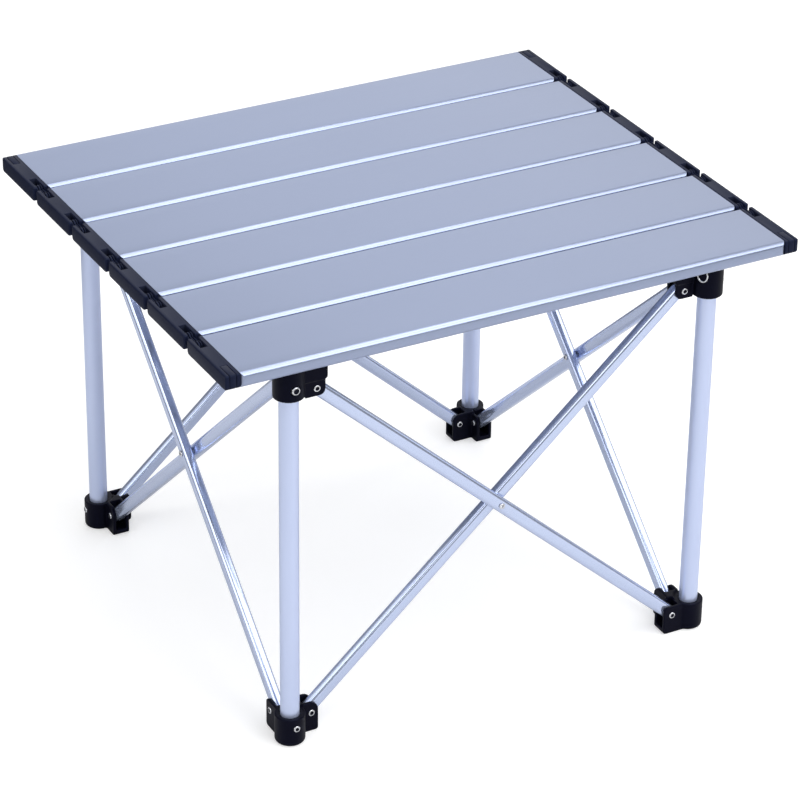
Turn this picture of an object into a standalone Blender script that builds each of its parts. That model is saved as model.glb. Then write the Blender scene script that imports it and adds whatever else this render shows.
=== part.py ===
# Folding camp table: six aluminium slats with plastic end caps, joined by
# two-pin links, on a frame of four legs and four crossed pairs of braces.
#
# Metres, +Z up. X runs along the slats, Y from the front to the back. The
# origin is on the floor, under the middle of the tabletop.

import math

import bmesh
import bpy
from mathutils import Matrix, Vector

# Tabletop
table_length = 0.405
table_height = 0.2875
slat_count = 6
slat_pitch = 0.0576
slat_gap = 0.003
slat_thickness = 0.010
slat_wall = 0.0012
slat_corner_radius = 0.002
slat_lip_width = 0.011

# End caps and the plugs in the unused pockets
cap_width = 0.010
cap_gap = 0.004
cap_top_radius = 0.001
cap_bottom_radius = 0.0025
cap_tongue_length = 0.012
pocket_width = 0.0047
pocket_length = 0.0138
pocket_outer_wall = 0.0027

# Links between the caps
link_pin_spacing = 0.0128
link_barrel_radius = 0.0033
link_web_height = 0.0034
trunnion_radius = 0.0014
trunnion_length = 0.0012

# Frame. The leg axes stand outset from the outermost slats' middles.
leg_outset = 0.006
frame_setback = 0.0015
leg_diameter = 0.0125
leg_wall = 0.001
brace_width = 0.0095
brace_thickness = 0.0072
brace_wall = 0.001
brace_corner_radius = 0.0018
brace_end_radius = 0.0045

# Hubs
sleeve_radius = 0.010
pivot_reach = 0.0162
cheek_thickness = 0.0022
ear_margin = 0.006
foot_pivot_height = 0.014
foot_sleeve_height = 0.0203
foot_ear_height = 0.023
foot_ear_radius = 0.006
foot_floor = 0.003
foot_web = 0.004
foot_rivet_height = 0.0136
top_pivot_drop = 0.0225
top_sleeve_length = 0.0265
top_ear_below_pivot = 0.0055
top_ear_radius = 0.004
top_flange_width = 0.0013
leg_top_drop = 0.0078
peg_size = 0.016
peg_root = 0.002
ring_drop = 0.0105
ring_azimuth = math.radians(126)
ring_outer_radius = 0.0036
ring_inner_radius = 0.0029
ring_proud = 0.0005

# Rivets and snap buttons
rivet_radius = 0.0016
rivet_head_radius = 0.0023
rivet_head_height = 0.0007
button_radius = 0.0028
button_proud = 0.0008
button_drop = 0.0185
clip_thickness = 0.0006
clip_width = 0.0048
clip_length = 0.016
clip_return = 0.0026
clip_pad_width = 0.0076

# Clearances
fit_gap = 0.0003
brace_gap = 0.0005
slot_play = 0.00025
slot_end_play = 0.00075
bite = 0.002

# Facets in a full circle, and steps in a rounded corner
tube_facets = 16
sleeve_facets = 20
barrel_facets = 10
small_facets = 8
corner_steps = 2

# Places worked out from the sizes above
half_length = table_length / 2
table_underside = table_height - slat_thickness
pin_height = table_height - slat_thickness / 2
slat_half_width = (slat_pitch - slat_gap) / 2
slat_half_length = half_length - cap_width
cap_half_width = (slat_pitch - cap_gap) / 2
pin_offset = (slat_pitch - link_pin_spacing) / 2
pocket_high = half_length - pocket_outer_wall
pocket_low = pocket_high - pocket_width
leg_offset = slat_pitch * (slat_count - 1) / 2 + leg_outset
leg_radius = leg_diameter / 2
bore_radius = leg_radius + fit_gap
brace_step = brace_thickness + brace_gap
slot_width = brace_thickness + 2 * slot_play
ear_half_width = slot_width / 2 + cheek_thickness
ear_reach = pivot_reach + ear_margin
slot_start = pivot_reach - brace_width / 2 - slot_end_play
hub_top = table_underside - fit_gap
top_pivot_height = table_underside - top_pivot_drop
leg_top = table_underside - leg_top_drop
top_sleeve_bottom = table_underside - top_sleeve_length
top_ear_bottom = top_pivot_height - top_ear_below_pivot
slot_ceiling = top_pivot_height + brace_width / 2 + slot_end_play
button_height = table_underside - button_drop
pivot_offset = leg_offset - pivot_reach
brace_rise = top_pivot_height - foot_pivot_height
brace_length = math.hypot(2 * pivot_offset, brace_rise)
brace_angle = math.atan2(brace_rise, 2 * pivot_offset)
crossing_height = (top_pivot_height + foot_pivot_height) / 2
pin_hole_radius = rivet_radius + fit_gap
button_hole_radius = button_radius + fit_gap

corners = ("front_left", "front_right", "back_right", "back_left")
sides = ("front", "right", "back", "left")


def clear_scene():
    for thing in list(bpy.data.objects):
        bpy.data.objects.remove(thing, do_unlink=True)


def material(name, colour, roughness, metallic):
    made = bpy.data.materials.new(name)
    made.use_nodes = True
    shader = made.node_tree.nodes["Principled BSDF"]
    shader.inputs["Base Color"].default_value = (*colour, 1.0)
    shader.inputs["Roughness"].default_value = roughness
    shader.inputs["Metallic"].default_value = metallic
    return made


def arc(centre, radius, start, end, steps):
    # Points of an arc, from one angle to another.
    points = []
    for i in range(steps + 1):
        angle = start + (end - start) * i / steps
        points.append((centre[0] + radius * math.cos(angle), centre[1] + radius * math.sin(angle)))
    return points


def circle(radius, facets):
    return arc((0, 0), radius, 0, 2 * math.pi, facets)[:-1]


def rounded_box(low, high, radii, steps=corner_steps):
    # Outline of a box, anticlockwise from its low corner, with a radius for
    # each corner.
    a, b, c, d = radii
    centres = (
        (low[0] + a, low[1] + a, a),
        (high[0] - b, low[1] + b, b),
        (high[0] - c, high[1] - c, c),
        (low[0] + d, high[1] - d, d),
    )
    points = []
    for i, (x, y, radius) in enumerate(centres):
        start = math.pi + i * math.pi / 2
        if radius > 0:
            points += arc((x, y), radius, start, start + math.pi / 2, steps)
        else:
            points.append((x, y))
    return points


def prism(outline, low, high, axis="Z", hole=None):
    # A closed solid: an outline swept along an axis, with or without a hole.
    # The outline's two numbers are XY, YZ or ZX, in the axis's own order.
    shape = bmesh.new()
    ends = ([], [])
    for loop in (outline, hole):
        if loop is None:
            continue
        rings = []
        for edges, along in zip(ends, (low, high)):
            ring = [shape.verts.new((u, v, along)) for u, v in loop]
            edges += [shape.edges.new((ring[i - 1], ring[i])) for i in range(len(ring))]
            rings.append(ring)
        for i in range(len(loop)):
            shape.faces.new((rings[0][i - 1], rings[0][i], rings[1][i], rings[1][i - 1]))
    for edges in ends:
        bmesh.ops.triangle_fill(shape, edges=edges, use_beauty=True)
    turns = {"Z": ("X", "Y", "Z"), "X": ("Y", "Z", "X"), "Y": ("Z", "X", "Y")}
    for vert in shape.verts:
        moved = dict(zip(turns[axis], vert.co))
        vert.co = (moved["X"], moved["Y"], moved["Z"])
    bmesh.ops.recalc_face_normals(shape, faces=shape.faces)
    return shape


def box(low, high):
    shape = bmesh.new()
    bmesh.ops.create_cube(shape, size=1.0)
    for vert in shape.verts:
        vert.co = [a + (b - a) * (c + 0.5) for a, b, c in zip(low, high, vert.co)]
    return shape


def rod(start, end, radius, facets):
    # A closed cylinder between two points.
    start = Vector(start)
    end = Vector(end)
    shape = bmesh.new()
    bmesh.ops.create_cone(
        shape, cap_ends=True, segments=facets, radius1=radius, radius2=radius,
        depth=(end - start).length,
    )
    turn = Vector((0, 0, 1)).rotation_difference(end - start).to_matrix().to_4x4()
    middle = Matrix.Translation((start + end) / 2)
    bmesh.ops.transform(shape, matrix=middle @ turn, verts=shape.verts)
    return shape


def mesh_from(shape):
    mesh = bpy.data.meshes.new("shape")
    shape.to_mesh(mesh)
    shape.free()
    return mesh


def carved(base, steps):
    # The base with each shape joined to it or cut from it, in turn.
    body = bpy.data.objects.new("blank", mesh_from(base))
    bpy.context.scene.collection.objects.link(body)
    tools = []
    for number, (operation, shape) in enumerate(steps):
        tool = bpy.data.objects.new(f"tool_{number}", mesh_from(shape))
        bpy.context.scene.collection.objects.link(tool)
        tool.hide_render = True
        tool.display_type = "WIRE"
        tools.append(tool)
        change = body.modifiers.new(f"step_{number}", "BOOLEAN")
        change.operation = operation
        change.object = tool
        change.solver = "EXACT"
    graph = bpy.context.evaluated_depsgraph_get()
    mesh = bpy.data.meshes.new_from_object(body.evaluated_get(graph))
    for thing in (body, *tools):
        bpy.data.objects.remove(thing, do_unlink=True)
    return mesh


def joined(*shapes):
    return [("UNION", shape) for shape in shapes]


def cut(*shapes):
    return [("DIFFERENCE", shape) for shape in shapes]


def finish_mesh(mesh, surface):
    mesh.materials.clear()
    mesh.materials.append(surface)
    mesh.shade_smooth()
    mesh.set_sharp_from_angle(angle=math.radians(32))
    return mesh


def place(name, mesh, where, rotation):
    made = bpy.data.objects.new(name, mesh)
    bpy.context.scene.collection.objects.link(made)
    made.matrix_world = Matrix.Translation(where) @ rotation.to_4x4()
    return made


def quarter_turn(number):
    return Matrix.Rotation(number * math.pi / 2, 3, "Z")


# A side's own frame has its origin on the floor at the frame's middle, with
# +X along the side and -Y outwards. A corner's frame has its origin under
# the leg, with +X and +Y along the two sides that meet there.


def from_side(number, point):
    return quarter_turn(number) @ Vector(point) + Vector((0, frame_setback, 0))


def from_corner(number, point):
    return from_side(number, Vector(point) - Vector((leg_offset, leg_offset, 0)))


# The two ears of a hub are drawn in (along the side, across it, height).


def on_side(point, along_y):
    u, v, z = point
    return (v, u, z) if along_y else (u, v, z)


def ear_block(outline, middle, half_width, along_y):
    low = middle - half_width
    high = middle + half_width
    if along_y:
        return prism(outline, low, high, "X")
    return prism([(z, u) for u, z in outline], low, high, "Y")


def ear_slot(middle, bottom, top, along_y):
    low = (slot_start, middle - slot_width / 2, bottom)
    high = (ear_reach + bite, middle + slot_width / 2, top)
    return box(on_side(low, along_y), on_side(high, along_y))


def ear_rivet(height, middle, along_y):
    # A rivet across the fork, with a head on each cheek.
    def pin(low, high, radius):
        start = on_side((pivot_reach, middle + low, height), along_y)
        end = on_side((pivot_reach, middle + high, height), along_y)
        return rod(start, end, radius, small_facets)

    face = ear_half_width
    under = face - cheek_thickness / 2
    over = face + rivet_head_height
    return joined(
        pin(-under, under, rivet_radius),
        pin(-over, -under, rivet_head_radius),
        pin(under, over, rivet_head_radius),
    )


def foot_hub_mesh():
    # A blind sleeve for the leg and two forked ears. The ear along X holds
    # an inner brace and the one along Y an outer brace.
    ears = ((False, brace_step), (True, 0.0))
    outline = rounded_box((0, 0), (ear_reach, foot_ear_height), (0, 0, foot_ear_radius, 0))
    over = foot_ear_height + bite
    steps = []
    for along_y, middle in ears:
        steps += joined(ear_block(outline, middle, ear_half_width, along_y))
    steps += cut(rod((0, 0, foot_sleeve_height), (0, 0, over), sleeve_radius, sleeve_facets))
    for along_y, middle in ears:
        steps += cut(ear_slot(middle, foot_web, over, along_y))
    steps += cut(rod((0, 0, foot_floor), (0, 0, over), bore_radius, tube_facets))
    for along_y, middle in ears:
        steps += ear_rivet(foot_pivot_height, middle, along_y)

    def pin(low, high, radius):
        return rod((0, low, foot_rivet_height), (0, high, foot_rivet_height), radius, small_facets)

    steps += joined(
        pin(-sleeve_radius + fit_gap, bore_radius + bite, rivet_radius),
        pin(-sleeve_radius - rivet_head_height, -sleeve_radius + bite, rivet_head_radius),
    )
    return carved(rod((0, 0, 0), (0, 0, foot_sleeve_height), sleeve_radius, sleeve_facets), steps)


def top_hub_mesh():
    # A sleeve over the leg's end, two forked ears under a flange, and a peg
    # that stands in the channel of the slat above. The ear along X holds an
    # outer brace and the one along Y an inner brace.
    ears = ((False, 0.0), (True, brace_step))
    ear = rounded_box((0, top_ear_bottom), (ear_reach, hub_top), (0, top_ear_radius, 0, 0))
    flange_reach = ear_reach + top_flange_width
    flange = rounded_box((0, slot_ceiling), (flange_reach, hub_top), (0, 0, 0, 0))
    under = top_ear_bottom - bite
    steps = []
    for along_y, middle in ears:
        steps += joined(
            ear_block(ear, middle, ear_half_width, along_y),
            ear_block(flange, middle, ear_half_width + top_flange_width / 2, along_y),
        )
    for along_y, middle in ears:
        steps += cut(ear_slot(middle, under, slot_ceiling, along_y))
    half_peg = peg_size / 2
    peg_top = table_height - slat_wall - fit_gap
    steps += joined(box((-half_peg, -half_peg, hub_top - peg_root), (half_peg, half_peg, peg_top)))
    steps += cut(
        rod((0, 0, under), (0, 0, top_sleeve_bottom), sleeve_radius, sleeve_facets),
        rod((0, 0, under), (0, 0, leg_top + fit_gap), bore_radius, tube_facets),
        rod((0, -sleeve_radius - bite, button_height), (0, 0, button_height),
            button_hole_radius, barrel_facets),
    )
    for along_y, middle in ears:
        steps += ear_rivet(top_pivot_height, middle, along_y)

    def ring(low, high, radius):
        outward = Vector((math.cos(ring_azimuth), math.sin(ring_azimuth), 0))
        centre = Vector((0, 0, table_underside - ring_drop))
        return rod(centre + outward * low, centre + outward * high, radius, barrel_facets)

    face = sleeve_radius + ring_proud
    steps += joined(ring(sleeve_radius - bite, face, ring_outer_radius))
    steps += cut(ring(sleeve_radius, face + bite, ring_inner_radius))
    sleeve = rod((0, 0, top_sleeve_bottom), (0, 0, hub_top), sleeve_radius, sleeve_facets)
    return carved(sleeve, steps)


def leg_mesh():
    # A round tube with a cross hole for the foot's rivet and a hole in its
    # outer wall for the snap button.
    tube = prism(
        circle(leg_radius, tube_facets), foot_floor + fit_gap, leg_top,
        hole=circle(leg_radius - leg_wall, tube_facets),
    )
    reach = leg_radius + bite

    def drill(height, far, radius, facets):
        return rod((0, -reach, height), (0, far, height), radius, facets)

    return carved(tube, cut(
        drill(foot_rivet_height, reach, pin_hole_radius, small_facets),
        drill(button_height, 0, button_hole_radius, barrel_facets),
    ))


def snap_button_mesh():
    # The button and its spring clip, bent from one strip, inside the leg.
    pad = clip_pad_width / 2
    inner = leg_radius - leg_wall - fit_gap
    face = -math.sqrt(inner**2 - pad**2)
    back = face + clip_thickness
    low = button_height - clip_length
    bend = (face + clip_return / 2, low)
    outline = [(face, button_height)]
    outline += arc(bend, clip_return / 2, math.pi, 2 * math.pi, 2 * corner_steps)
    outline += arc(bend, clip_return / 2 - clip_thickness, 2 * math.pi, math.pi, 2 * corner_steps)
    outline.append((back, button_height))
    strip = prism(outline, -clip_width / 2, clip_width / 2, "X")
    plate = box((-pad, face, button_height - pad), (pad, back, button_height + pad))
    tip = (0, -sleeve_radius - button_proud, button_height)
    button = rod(tip, (0, back - fit_gap, button_height), button_radius, barrel_facets)
    return carved(strip, joined(plate, button))


def brace_mesh():
    # A flat tube along X from its lower pivot, with round ends and a hole
    # for each of its three rivets.
    deep = brace_thickness / 2
    tall = brace_width / 2
    radii = (brace_corner_radius,) * 4
    inner = (brace_corner_radius - brace_wall,) * 4
    section = rounded_box((-deep, -tall), (deep, tall), radii)
    bore = rounded_box(
        (brace_wall - deep, brace_wall - tall), (deep - brace_wall, tall - brace_wall), inner, 1
    )
    tube = prism(section, -tall, brace_length + tall, "X", hole=bore)
    ends = rounded_box(
        (-tall, -tall), (tall, brace_length + tall), (brace_end_radius,) * 4, corner_steps + 1
    )

    def drill(x):
        return rod((x, -deep - bite, 0), (x, deep + bite, 0), pin_hole_radius, small_facets)

    holes = [drill(x) for x in (0, brace_length / 2, brace_length)]
    trim = prism(ends, -deep - bite, deep + bite, "Y")
    return carved(tube, [("INTERSECT", trim), *cut(*holes)])


def crossing_rivet_mesh():
    # A rivet through both braces of a side, along Y, about the outer one.
    low = -brace_thickness / 2 - fit_gap
    high = brace_step - low
    base = rod((0, low - rivet_head_height / 2, 0), (0, high + rivet_head_height / 2, 0),
               rivet_radius, small_facets)
    return carved(base, joined(
        rod((0, low - rivet_head_height, 0), (0, low, 0), rivet_head_radius, small_facets),
        rod((0, high, 0), (0, high + rivet_head_height, 0), rivet_head_radius, small_facets),
    ))


# The tabletop's pieces are drawn about the middle of their slat.


def slat_mesh():
    # A channel, open below between two lips.
    low = table_underside
    outer = rounded_box(
        (-slat_half_width, low), (slat_half_width, table_height), (slat_corner_radius,) * 4
    )
    inside = slat_half_width - slat_wall
    hollow = rounded_box(
        (-inside, low + slat_wall), (inside, table_height - slat_wall),
        (slat_corner_radius - slat_wall,) * 4,
    )
    channel = prism(outer, -slat_half_length, slat_half_length, "X", hole=hollow)
    mouth = slat_half_width - slat_lip_width
    over = slat_half_length + bite
    slot = box((-over, -mouth, low - bite), (over, mouth, low + slat_wall + fit_gap))
    return carved(channel, cut(slot))


def cap_outline(y_low, y_high, radii=None):
    bottom = cap_bottom_radius
    top = cap_top_radius
    return rounded_box(
        (y_low, table_underside), (y_high, table_height), radii or (bottom, bottom, top, top)
    )


def end_cap_mesh():
    # The cap at the +X end: a block with a tongue in the slat's channel, and
    # a pocket with pin holes at each end for a link or a plug.
    block = prism(
        cap_outline(-cap_half_width, cap_half_width), slat_half_length + fit_gap, half_length, "X"
    )
    play = slat_wall + fit_gap
    side = slat_half_width - play
    tongue = box(
        (slat_half_length - cap_tongue_length, -side, table_underside + play),
        (slat_half_length + bite / 2, side, table_height - play),
    )
    steps = joined(tongue)
    for end in (-1, 1):
        y = sorted((end * (cap_half_width + bite), end * (cap_half_width - pocket_length)))
        steps += cut(box(
            (pocket_low, y[0], table_underside - bite), (pocket_high, y[1], table_height + bite)
        ))
        steps += cut(rod(
            (pocket_low - trunnion_length - fit_gap, end * pin_offset, pin_height),
            (pocket_high + trunnion_length + fit_gap, end * pin_offset, pin_height),
            trunnion_radius + fit_gap, small_facets,
        ))
    return carved(block, steps)


def trunnion(y):
    # The pin of a link or a plug, from one pin hole of a pocket to the other.
    return rod(
        (pocket_low - trunnion_length, y, pin_height),
        (pocket_high + trunnion_length, y, pin_height),
        trunnion_radius, small_facets,
    )


def cap_plug_mesh():
    # The plug that fills the pocket at the +Y end of the last cap.
    low = cap_half_width - pocket_length + fit_gap
    outline = cap_outline(low, cap_half_width, (0, cap_bottom_radius, cap_top_radius, 0))
    block = prism(outline, pocket_low + fit_gap, pocket_high - fit_gap, "X")
    return carved(block, joined(trunnion(pin_offset)))


def link_mesh():
    # Two barrels on a web, from the pocket of one cap to that of the next,
    # about the middle of the gap.
    low = pocket_low + fit_gap
    high = pocket_high - fit_gap
    half = link_pin_spacing / 2
    web = box(
        (low, -half, pin_height - link_web_height / 2),
        (high, half, pin_height + link_web_height / 2),
    )
    steps = []
    for y in (-half, half):
        barrel = rod((low, y, pin_height), (high, y, pin_height), link_barrel_radius, barrel_facets)
        steps += joined(barrel, trunnion(y))
    return carved(web, steps)


clear_scene()

aluminium = material("Aluminium", (0.62, 0.65, 0.74), 0.42, 0.9)
black_plastic = material("Black plastic", (0.022, 0.023, 0.032), 0.45, 0.0)
rivet_steel = material("Rivet steel", (0.6, 0.61, 0.64), 0.3, 1.0)
upright = Matrix.Identity(3)

leg_shape = finish_mesh(leg_mesh(), aluminium)
foot_shape = finish_mesh(foot_hub_mesh(), black_plastic)
top_shape = finish_mesh(top_hub_mesh(), black_plastic)
button_shape = finish_mesh(snap_button_mesh(), rivet_steel)
brace_shape = finish_mesh(brace_mesh(), aluminium)
crossing_shape = finish_mesh(crossing_rivet_mesh(), rivet_steel)
slat_shape = finish_mesh(slat_mesh(), aluminium)
cap_shape = finish_mesh(end_cap_mesh(), black_plastic)
plug_shape = finish_mesh(cap_plug_mesh(), black_plastic)
link_shape = finish_mesh(link_mesh(), black_plastic)

pieces = {}
for number, corner in enumerate(corners):
    stand = from_corner(number, (0, 0, 0))
    turn = quarter_turn(number)
    for kind, shape in (
        ("leg", leg_shape), ("foot_hub", foot_shape), ("top_hub", top_shape), ("snap_button", button_shape)
    ):
        pieces[f"{kind}_{corner}"] = place(f"{kind}_{corner}", shape, stand, turn)

inner_turn = Matrix.Rotation(-brace_angle, 3, "Y")
outer_turn = Matrix.Rotation(brace_angle - math.pi, 3, "Y")
for number, side in enumerate(sides):
    turn = quarter_turn(number)
    outer_start = from_side(number, (pivot_offset, -leg_offset, foot_pivot_height))
    inner_start = from_side(number, (-pivot_offset, brace_step - leg_offset, foot_pivot_height))
    middle = from_side(number, (0, -leg_offset, crossing_height))
    for name, shape, where, rotation in (
        (f"brace_{side}_outer", brace_shape, outer_start, turn @ outer_turn),
        (f"brace_{side}_inner", brace_shape, inner_start, turn @ inner_turn),
        (f"crossing_rivet_{side}", crossing_shape, middle, turn),
    ):
        pieces[name] = place(name, shape, where, rotation)

half_turn = quarter_turn(2)
slat_names = []
link_names = []
for number in range(1, slat_count + 1):
    y = slat_pitch * (number - (slat_count + 1) / 2)
    group = [f"slat_{number}"]
    pieces[group[0]] = place(group[0], slat_shape, (0, y, 0), upright)
    for end, rotation in (("right", upright), ("left", half_turn)):
        name = f"end_cap_{number}_{end}"
        pieces[name] = place(name, cap_shape, (0, y, 0), rotation)
        group.append(name)
    slat_names.append(group)
    if number == slat_count:
        continue
    group = []
    for end, rotation in (("right", upright), ("left", half_turn)):
        name = f"link_{number}_{end}"
        pieces[name] = place(name, link_shape, (0, y + slat_pitch / 2, 0), rotation)
        group.append(name)
    link_names.append(group)

mirrored = Matrix.Diagonal((-1, 1, 1))
plug_left = plug_shape.copy()
plug_left.transform(mirrored.to_4x4())
plug_left.flip_normals()
last_slat_y = slat_pitch * (slat_count - 1) / 2
for name, shape, y, rotation in (
    ("cap_plug_back_right", plug_shape, last_slat_y, upright),
    ("cap_plug_back_left", plug_left, last_slat_y, upright),
    ("cap_plug_front_left", plug_shape, -last_slat_y, half_turn),
    ("cap_plug_front_right", plug_left, -last_slat_y, half_turn),
):
    pieces[name] = place(name, shape, (0, y, 0), rotation)
slat_names[0] += ["cap_plug_front_left", "cap_plug_front_right"]
slat_names[-1] += ["cap_plug_back_left", "cap_plug_back_right"]

# Each body of pieces hangs from an empty on its joint's axis, and the
# empties follow one another as the joints do.

axes = {}


def body(name, parent, point, members):
    axis = bpy.data.objects.new(f"axis_{name}", None)
    axis.empty_display_size = 0.01
    bpy.context.scene.collection.objects.link(axis)
    axis.location = point
    if parent:
        axis.parent = axes[parent]
        axis.location = Vector(point) - Vector(places[parent])
    axes[name] = axis
    places[name] = point
    for member in members:
        pieces[member].parent = axis
        pieces[member].matrix_parent_inverse = Matrix.Translation(point).inverted()


places = {}


def foot_pivot(number, along_y):
    across = 0 if along_y else brace_step
    return from_corner(number, on_side((pivot_reach, across, foot_pivot_height), along_y))


def top_pivot(number, along_y):
    across = brace_step if along_y else 0
    return from_corner(number, on_side((pivot_reach, across, top_pivot_height), along_y))


def crossing(number):
    return from_side(number, (0, -leg_offset, crossing_height))


body("frame", None, (0, 0, 0), ["foot_hub_front_left", "leg_front_left"])
body("front_inner", "frame", foot_pivot(0, False), ["brace_front_inner", "crossing_rivet_front"])
body("front_outer", "front_inner", crossing(0), ["brace_front_outer"])
body("top_front_left", "front_outer", top_pivot(0, False), ["top_hub_front_left"])
body("foot_front_right", "front_outer", foot_pivot(1, True), ["foot_hub_front_right", "leg_front_right"])
body("top_front_right", "front_inner", top_pivot(1, True), ["top_hub_front_right"])
body("left_outer", "frame", foot_pivot(0, True), ["brace_left_outer", "crossing_rivet_left"])
body("left_inner", "left_outer", crossing(3), ["brace_left_inner"])
body("top_back_left", "left_outer", top_pivot(3, False), ["top_hub_back_left"])
body("foot_back_left", "left_inner", foot_pivot(3, False), ["foot_hub_back_left", "leg_back_left"])
body("right_inner", "foot_front_right", foot_pivot(1, False), ["brace_right_inner", "crossing_rivet_right"])
body("right_outer", "right_inner", crossing(1), ["brace_right_outer"])
body("top_back_right", "right_inner", top_pivot(2, True), ["top_hub_back_right"])
body("foot_back_right", "right_outer", foot_pivot(2, True), ["foot_hub_back_right", "leg_back_right"])
body("back_outer", "foot_back_left", foot_pivot(3, True), ["brace_back_outer", "crossing_rivet_back"])
body("back_inner", "back_outer", crossing(2), ["brace_back_inner"])
for number, corner in enumerate(corners):
    parent = "frame" if number == 0 else f"foot_{corner}"
    button_axis = from_corner(number, (0, -sleeve_radius, button_height))
    body(f"snap_button_{corner}", parent, button_axis, [f"snap_button_{corner}"])

for number, members in enumerate(slat_names, 1):
    first_y = -last_slat_y + slat_pitch * (number - 1)
    if number == 1:
        body("slat_1", "top_front_left", (0, first_y, table_underside), members)
        continue
    pin = (0, first_y - pin_offset, pin_height)
    link_pin = (0, first_y - slat_pitch + pin_offset, pin_height)
    body(f"links_{number - 1}", f"slat_{number - 1}", link_pin, link_names[number - 2])
    body(f"slat_{number}", f"links_{number - 1}", pin, members)
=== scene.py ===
import math

import bpy
from mathutils import Matrix, Vector


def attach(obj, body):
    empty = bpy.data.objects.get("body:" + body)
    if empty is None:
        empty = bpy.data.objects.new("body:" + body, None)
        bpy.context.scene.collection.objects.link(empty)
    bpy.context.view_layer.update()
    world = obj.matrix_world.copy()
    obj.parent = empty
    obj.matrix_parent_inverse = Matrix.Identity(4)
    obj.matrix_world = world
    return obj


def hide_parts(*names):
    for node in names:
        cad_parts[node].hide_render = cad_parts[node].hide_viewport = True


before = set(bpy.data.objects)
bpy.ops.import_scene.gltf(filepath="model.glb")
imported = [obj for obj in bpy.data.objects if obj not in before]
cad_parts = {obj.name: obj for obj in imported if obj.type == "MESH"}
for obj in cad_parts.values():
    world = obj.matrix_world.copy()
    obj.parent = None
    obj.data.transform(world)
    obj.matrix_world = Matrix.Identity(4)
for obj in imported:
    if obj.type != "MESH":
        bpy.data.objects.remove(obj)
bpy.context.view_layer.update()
print("frame loaded")

quarter = math.pi / 2
cornerNames = ["front_left", "front_right", "back_right", "back_left"]
sideNames = ["front", "right", "back", "left"]
legBody = ["frame", "foot_front_right", "foot_back_right", "foot_back_left"]
innerBody = ["front_inner", "right_inner", "back_inner", "left_inner"]
outerBody = ["front_outer", "right_outer", "back_outer", "left_outer"]
rivetBody = ["front_inner", "right_inner", "back_outer", "left_outer"]

# the table's main places, in metres
table = {
    "halfLength": 0.2025, "top": 0.2875, "under": 0.2775, "pinHeight": 0.2825,
    "pitch": 0.0576, "firstSlat": -0.144, "slats": 6,
    "legOffset": 0.150, "setback": 0.0015, "pivotReach": 0.0162, "braceStep": 0.0077,
    "footPivot": 0.014, "topPivot": 0.255,
}
# a point this near to a plane lies in it, and a direction this close to an axis is along it
near = 0.0001
aligned = 0.9
# sides of each kind of round piece
facets = {
    "leg": 72, "hub": 64, "ring": 48, "tip": 48, "barrel": 40, "head": 40, "socket": 40, "dimple": 36,
    "pin": 32, "shank": 32, "seat": 32, "hole": 28, "drill": 24,
}


# small helpers, each one a step done by hand in Blender

def clearSelection():
    if bpy.context.object and bpy.context.object.mode != "OBJECT":
        bpy.ops.object.mode_set(mode="OBJECT")
    bpy.ops.object.select_all(action="DESELECT")


def useOnly(piece):
    clearSelection()
    piece.select_set(True)
    bpy.context.view_layer.objects.active = piece


def addBlock(name, low, high):
    clearSelection()
    middle = [(a + b) / 2 for a, b in zip(low, high)]
    size = [b - a for a, b in zip(low, high)]
    bpy.ops.mesh.primitive_cube_add(size=1, location=middle, scale=size)
    piece = bpy.context.object
    piece.name = name
    bpy.ops.object.transform_apply(location=True, rotation=True, scale=True)
    return piece


def addRod(name, start, end, radius, sides):
    clearSelection()
    start, end = Vector(start), Vector(end)
    turn = Vector((0, 0, 1)).rotation_difference(end - start).to_euler()
    bpy.ops.mesh.primitive_cylinder_add(
        vertices=sides, radius=radius, depth=(end - start).length,
        location=(start + end) / 2, rotation=turn)
    piece = bpy.context.object
    piece.name = name
    bpy.ops.object.transform_apply(location=True, rotation=True, scale=True)
    return piece


def pickFaces(piece, test):
    # selects the faces whose centre and normal pass, and goes to edit mode
    useOnly(piece)
    mesh = piece.data
    for part in (mesh.vertices, mesh.edges, mesh.polygons):
        part.foreach_set("select", [False] * len(part))
    for face in mesh.polygons:
        face.select = bool(test(face.center, face.normal))
    bpy.ops.object.mode_set(mode="EDIT")
    bpy.ops.mesh.select_mode(type="FACE")


def pickEdges(piece, test):
    # selects the edges whose middle and direction pass, and goes to edit mode
    useOnly(piece)
    mesh = piece.data
    for part in (mesh.vertices, mesh.edges, mesh.polygons):
        part.foreach_set("select", [False] * len(part))
    for edge in mesh.edges:
        a, b = (mesh.vertices[i].co for i in edge.vertices)
        edge.select = bool(test((a + b) / 2, (b - a).normalized()))
    bpy.ops.object.mode_set(mode="EDIT")
    bpy.ops.mesh.select_mode(type="EDGE")


def backToObject():
    bpy.ops.object.mode_set(mode="OBJECT")


def roundEdges(piece, test, radius, steps=4):
    pickEdges(piece, test)
    bpy.ops.mesh.bevel(offset=radius, segments=steps, affect="EDGES", clamp_overlap=True)
    backToObject()


def applyModifier(piece, kind, **settings):
    useOnly(piece)
    change = piece.modifiers.new(kind.title(), kind)
    for key, value in settings.items():
        setattr(change, key, value)
    bpy.ops.object.modifier_apply(modifier=change.name)


def join(piece, *others):
    for other in others:
        applyModifier(piece, "BOOLEAN", operation="UNION", object=other, solver="EXACT")
        bpy.data.objects.remove(other, do_unlink=True)


def carve(piece, *others):
    for other in others:
        applyModifier(piece, "BOOLEAN", operation="DIFFERENCE", object=other, solver="EXACT")
        bpy.data.objects.remove(other, do_unlink=True)


def softenEdges(piece, width, angle, steps=2):
    applyModifier(
        piece, "BEVEL", width=width, segments=steps, limit_method="ANGLE",
        angle_limit=math.radians(angle), use_clamp_overlap=True, harden_normals=False)


def smoothShade(piece, angle):
    useOnly(piece)
    bpy.ops.object.shade_smooth_by_angle(angle=math.radians(angle))


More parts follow.
